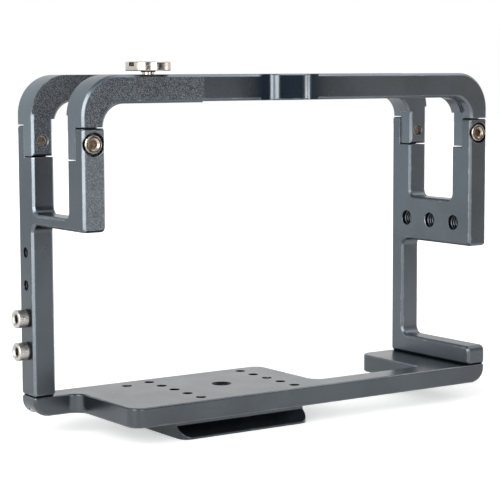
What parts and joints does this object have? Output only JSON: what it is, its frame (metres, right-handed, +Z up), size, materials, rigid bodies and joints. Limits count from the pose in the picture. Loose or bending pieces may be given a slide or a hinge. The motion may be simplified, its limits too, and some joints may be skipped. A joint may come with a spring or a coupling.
{
  "type": "camera cage",
  "caption": "Open rectangular metal cage for a box-shaped camera, with a dovetail foot, forked side plates, a parallel-bar top and a slotted thumb screw.",
  "frame": {"origin": "on the camera screw's axis, on the underside of the dovetail foot", "axes": "+X to the right and +Y to the back seen from the lens side, +Z up"},
  "size_m": [0.1989, 0.0544, 0.1449],
  "materials": {
    "cage_grey": "bead-blasted and anodised gunmetal grey",
    "screw_steel": "bright stainless steel",
    "pin_steel": "ground steel",
    "thumb_nickel": "turned and polished nickel plate",
    "washer_black": "black nylon"
  },
  "bodies": {
    "cage": {"base_plate": "cage_grey", "left_side_plate": "cage_grey", "right_side_plate": "cage_grey", "top_frame": "cage_grey", "front_left_lap_screw": "screw_steel", "rear_left_lap_screw": "screw_steel", "front_right_lap_screw": "screw_steel", "rear_right_lap_screw": "screw_steel", "upper_post_screw": "screw_steel", "lower_post_screw": "screw_steel", "upper_post_washer": "washer_black", "lower_post_washer": "washer_black", "left_foot_screw": "screw_steel", "front_foot_screw": "screw_steel", "rear_foot_screw": "screw_steel", "front_dowel_pin": "pin_steel", "rear_dowel_pin": "pin_steel"},
    "collar": {"collar_washer": "washer_black"},
    "thumb_screw": {"thumb_screw": "thumb_nickel"}
  },
  "joints": [
    {"name": "thumb_travel", "type": "slide", "parent": "cage", "child": "collar", "axis": [0, 0, 1], "range_m": [-0.0009, 0.00575]},
    {"name": "thumb_turn", "type": "hinge", "parent": "collar", "child": "thumb_screw", "pos_m": [-0.0449, -0.02, 0.1415], "axis": [0, 0, 1], "range_deg": [-250, 1620]}
  ],
  "couplings": [
    {"joint": "thumb_travel", "follows": "thumb_turn", "m_per_rad": 0.00020213}
  ]
}
